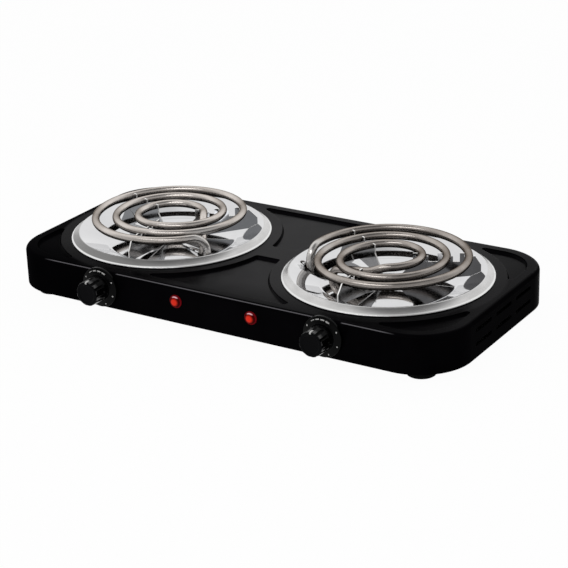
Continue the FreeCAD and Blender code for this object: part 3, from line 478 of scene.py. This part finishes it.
def tray_material(side):
    """Bright bowl and satin rim: the finish changes at the crest, a painted highlight runs round the hem,
    and the left rim has a side darkened with painted shade.
    """
    material, tree, shader = surface("tray_" + side, (0.64, 0.64, 0.65), (0.71, 0.71, 0.715),
                                     rough=(0.03, 0.06), grain=25, Metallic=1.0)
    satin = drifting(tree, 60, SATIN_RIM, (1, 1, 4))
    if side == "left":
        # Painted shade on the left rim's side
        lean = vector_maths(tree, "DOT_PRODUCT", object_place(tree), SHADED_RIM_SIDE)
        satin = mix_colour(tree, ramp(tree, lean, TRAY_SHADED_SPAN), satin, SHADED_RIM_COLOUR)
    # Painted highlight round the hem
    satin = mix_colour(tree, ramp(tree, axis_distance(tree), TRAY_HEM_HIGHLIGHT), satin, HEM_HIGHLIGHT_COLOUR)
    rim = ramp(tree, axis_distance(tree), TRAY_RIM)
    finish = mix_colour(tree, rim, source_of(shader, "Base Color"), satin)
    feed(tree, shader.inputs["Base Color"], finish)
    rough = mix_number(tree, rim, source_of(shader, "Roughness"), SATIN_ROUGH)
    feed(tree, shader.inputs["Roughness"], rough)
    return material


def make_materials():
    """Materials by their slots, with one for each tray and one for the knobs' print."""
    made = {name: surface(name, **look)[0] for name, look in plain_looks().items()}
    made["enamel"] = enamel_material()
    made["coil_sheath"] = coil_material()
    made["support_steel"] = support_material()
    made["knob_plastic"] = knob_material()
    made["lens_red"] = lens_material()
    for side in SIDES:
        made["tray_" + side] = tray_material(side)
    made["tray_chrome"] = made["tray_left"]
    return made


materials = make_materials()


def dress_cad():
    """Every CAD node takes its record slot's material."""
    for part in frame["record"]["subparts"]:
        mesh = nodes[part["node"]].data
        mesh.materials.clear()
        mesh.materials.append(materials[part["material_slot"]])


dress_cad()


def piece(name, mesh, material, body, place, turn=(0, 0, 0), replaced=()):
    """One object of the part, placed in the frame, which rides on a body and may stand for CAD nodes."""
    obj = bpy.data.objects.new(name, mesh)
    scene.collection.objects.link(obj)
    obj.location = place
    obj.rotation_euler = turn
    if not mesh.materials:
        mesh.materials.append(materials[material])
    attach(obj, body)
    if replaced:
        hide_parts(*replaced)
    return obj


SAME_POINT, NO_EDGE = 1e-7, 1e-8


def mesh_from(name, points, faces, sharp_degrees=35):
    """Mesh in metres from points in millimetres, smooth except at sharp corners."""
    build = bmesh.new()
    corners = [build.verts.new(Vector(point) * MM) for point in points]
    for face in faces:
        build.faces.new([corners[index] for index in face])
    bmesh.ops.remove_doubles(build, verts=build.verts, dist=SAME_POINT)
    bmesh.ops.dissolve_degenerate(build, edges=build.edges, dist=NO_EDGE)
    bmesh.ops.recalc_face_normals(build, faces=build.faces)
    mesh = bpy.data.meshes.new(name)
    build.to_mesh(mesh)
    build.free()
    mesh.shade_smooth()
    mesh.set_sharp_from_angle(angle=math.radians(sharp_degrees))
    return mesh


def turned(name, profile, steps=120, radius_at=None, sharp_degrees=35):
    """Closed mesh turned about Z from (radius, height) points; radius_at may flute it."""
    points, faces = [], []
    for step in range(steps):
        angle = 2 * math.pi * step / steps
        for radius, height in profile:
            if radius_at:
                radius = radius_at(radius, height, angle)
            points.append((radius * math.cos(angle), radius * math.sin(angle), height))
    count = len(profile)
    for step in range(steps):
        here, after = step * count, (step + 1) % steps * count
        for row in range(count):
            up = (row + 1) % count
            faces.append((here + row, after + row, after + up, here + up))
    return mesh_from(name, points, faces, sharp_degrees)


def prism(name, lower, upper, low, high):
    """Closed mesh between two outlines of as many points, one at each height."""
    count = len(lower)
    points = [(*point, low) for point in lower] + [(*point, high) for point in upper]
    faces = [tuple(range(count))[::-1], tuple(range(count, 2 * count))]
    faces += [(row, (row + 1) % count, (row + 1) % count + count, row + count) for row in range(count)]
    return mesh_from(name, points, faces)


def rounded(points, radii, steps=8):
    """Line through (radius, height) points with its inner corners rounded."""
    line = [Vector(points[0])]
    for before, corner, after, radius in zip(points, points[1:], points[2:], radii):
        corner = Vector(corner)
        back = (Vector(before) - corner).normalized()
        ahead = (Vector(after) - corner).normalized()
        half = back.angle(ahead) / 2
        reach = radius / math.tan(half)
        centre = corner + (back + ahead).normalized() * (radius / math.sin(half))
        first = corner + back * reach - centre
        last = corner + ahead * reach - centre
        for step in range(steps + 1):
            share = step / steps
            line.append(centre + (first * (1 - share) + last * share).normalized() * radius)
    line.append(Vector(points[-1]))
    return [tuple(point) for point in line]


def arc_points(turns):
    """Cosine and sine of each of some angles."""
    return [(math.cos(math.radians(turn)), math.sin(math.radians(turn))) for turn in turns]


def islands(node, apart=6.0):
    """Middles, seen from above, of the solids in a CAD node that lie some millimetres apart."""
    groups = []
    for vertex in nodes[node].data.vertices:
        for group in groups:
            if (vertex.co.xy - group[0].xy).length < apart * MM:
                group.append(vertex.co)
                break
        else:
            groups.append([vertex.co])
    middles = []
    for group in groups:
        low = Vector((min(co.x for co in group), min(co.y for co in group)))
        high = Vector((max(co.x for co in group), max(co.y for co in group)))
        middles.append((low + high) / 2)
    return middles


def cut(mesh, cutter):
    """The first mesh with the second one taken out of it."""
    body = bpy.data.objects.new("cut_body", mesh)
    tool = bpy.data.objects.new("cut_tool", cutter)
    for obj in (body, tool):
        scene.collection.objects.link(obj)
    step = body.modifiers.new("cut", "BOOLEAN")
    step.operation = "DIFFERENCE"
    step.solver = "EXACT"
    step.object = tool
    result = bpy.data.meshes.new_from_object(body.evaluated_get(bpy.context.evaluated_depsgraph_get()))
    result.name = mesh.name
    for obj in (body, tool):
        bpy.data.objects.remove(obj)
    return result


def tray_mesh(side):
    """Pressed bowl with a rolled hem and one slot for the coil's two legs, heights from the top sheet."""
    edge, hem = TRAY["radius"], TRAY["hem"]
    bowl = [(TRAY["bolt_hole"], -TRAY["bowl_drop"]), (TRAY["bowl_radius"], -TRAY["bowl_drop"]),
            (TRAY["crest_radius"], TRAY["crest_rise"])]
    bends = [TRAY["bowl_bend"], TRAY["crest_bend"]]
    upper = rounded(bowl + [(edge - hem, 2 * hem)], bends, steps=16)
    roll = [(edge - hem + hem * sine, hem + hem * cosine)
            for cosine, sine in arc_points(range(20, 271, 25))]
    lower = rounded([(radius, height - TRAY["sheet"]) for radius, height in bowl]
                    + [(edge - TRAY["tuck"], TRAY["tuck_height"])], bends, steps=16)
    mesh = turned("tray_" + side, upper + roll + lower[::-1], steps=360, sharp_degrees=60)
    legs = [(middle - BURNER[side].xy) / MM for middle in islands("terminal_pins_" + side)]
    return cut(mesh, slot_tool(legs, TRAY["slot_radius"], TRAY["slot_reach"]))


def slot_tool(ends, radius, reach, steps=16):
    """Upright prism with two round ends, which reaches as far up as down."""
    along = (ends[1] - ends[0]).normalized()
    start = math.atan2(along.y, along.x) + math.pi / 2
    ring = []
    for end, offset in ((ends[0], 0.0), (ends[1], math.pi)):
        for step in range(steps + 1):
            angle = start + offset + math.pi * step / steps
            ring.append((end.x + radius * math.cos(angle), end.y + radius * math.sin(angle)))
    return prism("slot_tool", ring, ring, -reach, reach)


def add_trays():
    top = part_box("housing_top")[1].z
    for side in SIDES:
        piece("tray_" + side, tray_mesh(side), "tray_" + side, "body",
              BURNER[side] + Vector((0, 0, top)), replaced=["drip_tray_" + side])


def knob_profile():
    """Half outline of a knob, from its back over the skirt and the grip to its front, and the bore."""
    length, edge, front = KNOB["length"], KNOB["edge"], KNOB["front"]
    face = length - KNOB["dish"]
    corners = [(KNOB["bore"], 0), (KNOB["skirt"], 0), (KNOB["skirt"], KNOB["skirt_edge"]),
               (KNOB["neck"], KNOB["skirt_face"]), (KNOB["grip"], KNOB["grip_start"]), (front, length),
               (front - KNOB["rim"], length), (front - KNOB["rim"] - KNOB["dish_slope"], face), (0, face)]
    bends = [0.4, 0.6, 0.5, 4.0, edge, 0.3, 0.3]
    line = rounded(corners, bends, steps=6)
    low, high = KNOB["grip_start"] + KNOB["grip_inset"], length - edge - KNOB["grip_inset"]
    grip = [(KNOB["grip"] + (front - KNOB["grip"]) * share, low + (high - low) * share)
            for share in (0, 0.1, 0.2, 0.4, 0.6, 0.8, 0.9, 1.0)]
    ahead = next(index for index, point in enumerate(line) if point[1] > high)
    bore = [(0, KNOB["bore_depth"]), (KNOB["bore"], KNOB["bore_depth"])]
    return line[:ahead] + grip + line[ahead:] + bore


def fluted(radius, height, angle):
    """Radius of the knob with its flutes, which run in above the skirt and run out at the front."""
    run_in = (height - FLUTE["start"]) / FLUTE["run_in"]
    run_out = (KNOB["length"] - FLUTE["stop"] - height) / FLUTE["run_out"]
    ends = min(1.0, max(0.0, run_in), max(0.0, run_out))
    pitch = 2 * math.pi / FLUTE["count"]
    away = abs((angle + pitch / 2) % pitch - pitch / 2) / FLUTE["half_radians"]
    if radius < KNOB["front"] - KNOB["edge"] or ends <= 0 or away >= 1:
        return radius
    return radius - FLUTE["depth"] * ends * (1 - away * away) ** 0.5


def knob_mesh(side):
    """Round knob with a marked skirt and a fluted grip: heights run forward from its back."""
    return turned("knob_" + side, knob_profile(), steps=288, radius_at=fluted, sharp_degrees=30)


def skirt_height(radius):
    share = (KNOB["skirt"] - radius) / (KNOB["skirt"] - KNOB["neck"])
    return KNOB["skirt_edge"] + share * (KNOB["skirt_face"] - KNOB["skirt_edge"])


def sector(points, faces, inner, outer, start, end, steps=8):
    """Adds a thin raised patch of the knob's skirt between two radii and two angles."""
    base, lift = len(points), MARKS["lift"]
    for step in range(steps + 1):
        angle = math.radians(start + (end - start) * step / steps)
        for radius, rise in ((inner, 0.0), (inner, lift), (outer, lift), (outer, 0.0)):
            height = skirt_height(radius) + rise
            points.append((radius * math.cos(angle), radius * math.sin(angle), height))
    for step in range(steps):
        row = base + 4 * step
        faces += [(row + side, row + side + 1, row + side + 5, row + side + 4) for side in range(3)]
    last = base + 4 * steps
    faces += [(base + 3, base + 2, base + 1, base), (last, last + 1, last + 2, last + 3)]


def dot(points, faces, radius, angle, size, steps=20):
    """Adds a thin round dot on the knob's skirt."""
    base = len(points)
    out = Vector((math.cos(math.radians(angle)), math.sin(math.radians(angle))))
    for rise in (0.0, MARKS["lift"]):
        for step in range(steps):
            turn = 2 * math.pi * step / steps
            at = out * (radius + size * math.cos(turn)) + Vector((-out.y, out.x)) * size * math.sin(turn)
            points.append((at.x, at.y, skirt_height(at.length) + rise))
    faces.append(tuple(base + steps + step for step in range(steps)))
    for step in range(steps):
        after = (step + 1) % steps
        faces.append((base + step, base + after, base + steps + after, base + steps + step))


def mark_mesh(side):
    """Heat scale on the skirt: a band that widens in steps at the top, and dots around the rest."""
    points, faces = [], []
    for step in range(MARKS["bars"]):
        start = MARKS["bar_start"] - MARKS["bar_pitch"] * step
        inner = MARKS["bar_inner"] - MARKS["bar_growth"] * step
        sector(points, faces, inner, MARKS["bar_outer"], start, start - MARKS["bar_span"])
    for angle in MARKS["dot_angles"]:
        dot(points, faces, MARKS["dot_radius"], angle, MARKS["dot_size"])
    return mesh_from("marks_" + side, points, faces)


def pointer_mesh(side):
    """Short white bar let into the top of the grip, which turns down over its front edge."""
    half, thickness = POINTER["half_width"], POINTER["thickness"]
    top, face = KNOB["front"] + POINTER["rise"], KNOB["length"] + POINTER["rise"]
    line = rounded([(top + POINTER["flare"], KNOB["length"] - POINTER["back"]), (top, face),
                    (KNOB["front"] - POINTER["front"], face)], [KNOB["edge"]])
    points, faces = [], []
    for inset in (0.0, thickness):
        for out, forward in line:
            points += [(-half, out - inset, forward - inset), (half, out - inset, forward - inset)]
    count = len(line)
    for row in range(count - 1):
        over, under = 2 * row, 2 * (row + count)
        faces += [(over, over + 1, over + 3, over + 2), (under, under + 2, under + 3, under + 1),
                  (over, over + 2, under + 2, under), (over + 1, under + 1, under + 3, over + 3)]
    last = 2 * (count - 1)
    faces += [(0, 2 * count, 2 * count + 1, 1), (last, last + 1, last + 2 * count + 1, last + 2 * count)]
    return mesh_from("pointer_" + side, points, faces)


FACING_FRONT = (math.radians(90), 0, 0)


def add_knobs():
    for side in SIDES:
        low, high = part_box("knob_" + side)
        place = Vector(((low.x + high.x) / 2, high.y, (low.z + high.z) / 2))
        body = side + "_knob"
        piece("dial_" + side, knob_mesh(side), "knob_plastic", body, place, FACING_FRONT,
              ["knob_" + side])
        piece("marks_" + side, mark_mesh(side), "white_print", body, place, FACING_FRONT)
        piece("pointer_" + side, pointer_mesh(side), "white_print", body, place,
              FACING_FRONT)


def lens_mesh(side):
    """Domed lens in its own flange, with a barrel behind it."""
    inner, seat = LENS["dome_radius"], LENS["seat"]
    bends = [0.05, 0.3, 0.6, 0.3]
    flange = rounded([(LENS["barrel"], -LENS["depth"]), (LENS["barrel"], 0), (LENS["radius"], 0),
                      (LENS["radius"], LENS["bezel"]), (inner, LENS["bezel"]), (inner, seat)],
                     bends, steps=5)
    dome = [(inner * cosine, seat + (LENS["height"] - seat) * sine)
            for cosine, sine in arc_points(range(6, 91, 6))]
    return turned("lens_" + side, flange + dome + [(0, -LENS["depth"])], steps=96)


def add_lamps():
    for side in SIDES:
        middle = centre_of("lamp_lens_" + side)
        piece("lens_" + side, lens_mesh(side), "lens_red", "body",
              Vector((middle.x, WALL_FRONT, middle.z)), FACING_FRONT, ["lamp_lens_" + side])


def bolt_mesh(name, height, drop):
    """Hexagon head with a chamfered top and a washer face, on a plain shank."""
    shank, washer, seat = BOLT["shank"], BOLT["washer"], BOLT["washer_height"]
    bends = [0.4, 0.1, 0.15, 0.2]
    line = rounded([(0, -drop), (shank, -drop), (shank, 0), (washer, 0), (washer, seat), (0, seat)],
                   bends, steps=4)
    mesh = turned(name, line, steps=48)
    build = bmesh.new()
    build.from_mesh(mesh)
    corner = BOLT["flats"] / math.sqrt(3)
    rows = []
    for rise, share in ((seat, 1.0), (height - BOLT["chamfer"], 1.0), (height, BOLT["top_share"])):
        rows.append([build.verts.new(Vector((corner * share * cosine, corner * share * sine, rise)) * MM)
                     for cosine, sine in arc_points(range(0, 360, 60))])
    for below, above in zip(rows, rows[1:]):
        for side in range(6):
            after = (side + 1) % 6
            build.faces.new((below[side], below[after], above[after], above[side]))
    build.faces.new(rows[-1])
    build.to_mesh(mesh)
    build.free()
    return mesh


def add_bolts():
    for side in SIDES:
        low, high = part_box("centre_bolt_" + side)
        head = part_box("coil_support_" + side)[0].z + BOLT["clamped_sheet"] * MM
        mesh = bolt_mesh("bolt_" + side, (high.z - head) / MM, (head - low.z) / MM)
        place = Vector(((low.x + high.x) / 2, (low.y + high.y) / 2, head))
        piece("bolt_" + side, mesh, "zinc_steel", "body", place,
              replaced=["centre_bolt_" + side])


def screw_mesh(name, reach):
    """Pan-head screw with a cross recess: its head hangs below and its shank rises by reach."""
    radius, height, edge = SCREW["head"], SCREW["height"], SCREW["head_edge"]
    head = [(radius * cosine, -edge - (height - edge) * sine)
            for cosine, sine in arc_points(range(0, 91, 10))]
    shank = [(0, reach), (SCREW["tip"], reach), (SCREW["shank"], reach - SCREW["tip_length"]),
             (SCREW["shank"], 0), (radius, 0)]
    mesh = turned(name, shank + head, steps=40)
    arm, half, taper = SCREW["recess"], SCREW["slot"], SCREW["recess_taper"]
    cross = [(half, half), (half, arm), (-half, arm), (-half, half), (-arm, half), (-arm, -half),
             (-half, -half), (-half, -arm), (half, -arm), (half, -half), (arm, -half), (arm, half)]
    narrow = [(x * taper, y * taper) for x, y in cross]
    tool = prism("cross", cross, narrow, -height - SCREW["overcut"], -height + SCREW["recess_depth"])
    return cut(mesh, tool)


def add_screws():
    for node in ("base_screws", "foot_screws"):
        low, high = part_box(node)
        seat = low.z + SCREW["height"] * MM
        mesh = screw_mesh(node, (high.z - seat) / MM)
        for number, middle in enumerate(islands(node, SCREW["apart"])):
            piece("%s_%d" % (node, number), mesh, "zinc_steel", "body",
                  Vector((middle.x, middle.y, seat)), replaced=[node] if number == 0 else [])


def foot_mesh():
    """Moulded rubber foot with a screw well and two grip grooves in its sole."""
    well, height, half = FOOT["well"], FOOT["height"], FOOT["groove_half"]
    sole = [(well, 0)]
    for radius in FOOT["groove_radii"]:
        sole += [(radius - half, 0), (radius, FOOT["groove"]), (radius + half, 0)]
    bends = [1.2, 0.8, 0.1, 0.1, 0.5]
    outline = rounded([(FOOT["sole"], 0), (FOOT["radius"], 0), (FOOT["top"], height),
                       (FOOT["hole"], height), (FOOT["hole"], FOOT["web"]), (well, FOOT["web"]), (well, 0)],
                      bends, steps=6)
    return turned("foot", sole + outline[:-1], steps=72)


def add_feet():
    mesh = foot_mesh()
    for corner in ("front_left", "front_right", "back_left", "back_right"):
        low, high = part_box("foot_" + corner)
        place = Vector(((low.x + high.x) / 2, (low.y + high.y) / 2, low.z))
        piece("rubber_" + corner, mesh, "foot_rubber", "body", place,
              replaced=["foot_" + corner])


add_trays()
add_knobs()
add_lamps()
add_bolts()
add_screws()
add_feet()


def set_camera():
    """Camera at the photograph's angle, given by where it stands around the middle of the body."""
    azimuth, elevation, roll = (math.radians(CAMERA[key]) for key in ("azimuth", "elevation", "roll"))
    back = Vector((math.sin(azimuth) * math.cos(elevation), -math.cos(azimuth) * math.cos(elevation),
                   math.sin(elevation)))
    right = Vector((math.cos(azimuth), math.sin(azimuth), 0))
    up = back.cross(right)
    place = right * CAMERA["right"] + up * CAMERA["up"] + back * CAMERA["distance"]
    turned_right = right * math.cos(roll) + up * math.sin(roll)
    turned_up = up * math.cos(roll) - right * math.sin(roll)
    data = bpy.data.cameras.new("camera")
    data.sensor_width = CAMERA["sensor"]
    data.lens = CAMERA["lens"]
    camera = bpy.data.objects.new("camera", data)
    scene.collection.objects.link(camera)
    turn = Matrix((turned_right, turned_up, back)).transposed()
    camera.matrix_world = Matrix.Translation(place * MM + BODY_CENTRE) @ turn.to_4x4()
    scene.camera = camera


def floor_material():
    """Pale floor that the camera, gloss and glass see as nearly white, and that keeps the part's shadow."""
    material = bpy.data.materials.new("floor")
    material.use_nodes = True
    tree = material.node_tree
    shader = tree.nodes["Principled BSDF"]
    own = {"Base Color": (0.9, 0.9, 0.9, 1), "Roughness": 0.9, "Specular IOR Level": 0.0}
    for name, value in own.items():
        shader.inputs[name].default_value = value
    glow = add_node(tree, "ShaderNodeEmission", Strength=1.0)
    path = add_node(tree, "ShaderNodeLightPath")
    rays = [path.outputs["Is %s Ray" % kind] for kind in ("Camera", "Glossy", "Transmission")]
    seen = maths(tree, "MAXIMUM", maths(tree, "MAXIMUM", rays[0], rays[1]), rays[2])
    mixer = add_node(tree, "ShaderNodeMixShader")
    sources = (product(tree, seen, FLOOR["white_share"]), shader.outputs[0], glow.outputs[0])
    for socket, source in zip(mixer.inputs, sources):
        feed(tree, socket, source)
    feed(tree, tree.nodes["Material Output"].inputs[0], mixer.outputs[0])
    return material


def set_floor():
    mesh = bpy.data.meshes.new("floor")
    reach = FLOOR["reach"]
    corners = [(-reach, -reach, 0), (reach, -reach, 0), (reach, reach, 0), (-reach, reach, 0)]
    mesh.from_pydata(corners, [], [(0, 1, 2, 3)])
    mesh.materials.append(floor_material())
    floor = bpy.data.objects.new("floor", mesh)
    floor.location.z = -FLOOR["drop"]
    scene.collection.objects.link(floor)


def set_world():
    """White studio behind and to the left, dimmer overhead and towards the camera."""
    world = bpy.data.worlds.new("world")
    scene.world = world
    world.use_nodes = True
    tree = world.node_tree
    background = tree.nodes["Background"]
    direction = add_node(tree, "ShaderNodeTexCoord").outputs["Generated"]
    lean = vector_maths(tree, "DOT_PRODUCT", direction, WHITE_SIDE)
    white = remap(tree, lean, 0.0, 1.0, *WHITE_SPAN)
    feed(tree, background.inputs["Color"], mix_colour(tree, white, STUDIO_DIM, STUDIO_WHITE))
    rise = vector_maths(tree, "DOT_PRODUCT", direction, OVERHEAD)
    feed(tree, background.inputs["Strength"], remap(tree, rise, 1.0, OVERHEAD_SHARE, *OVERHEAD_SPAN))


def set_key_light():
    """One wide, weak lamp above the front, aimed at the middle of the floor."""
    lamp = bpy.data.lights.new("key", "AREA")
    lamp.shape = "RECTANGLE"
    lamp.size, lamp.size_y = KEY["width"], KEY["depth"]
    lamp.energy = KEY["watts"]
    obj = bpy.data.objects.new("key", lamp)
    obj.location = KEY["place"]
    obj.rotation_euler = (-obj.location).to_track_quat("-Z", "Y").to_euler()
    scene.collection.objects.link(obj)


set_camera()
set_floor()
set_world()
set_key_light()
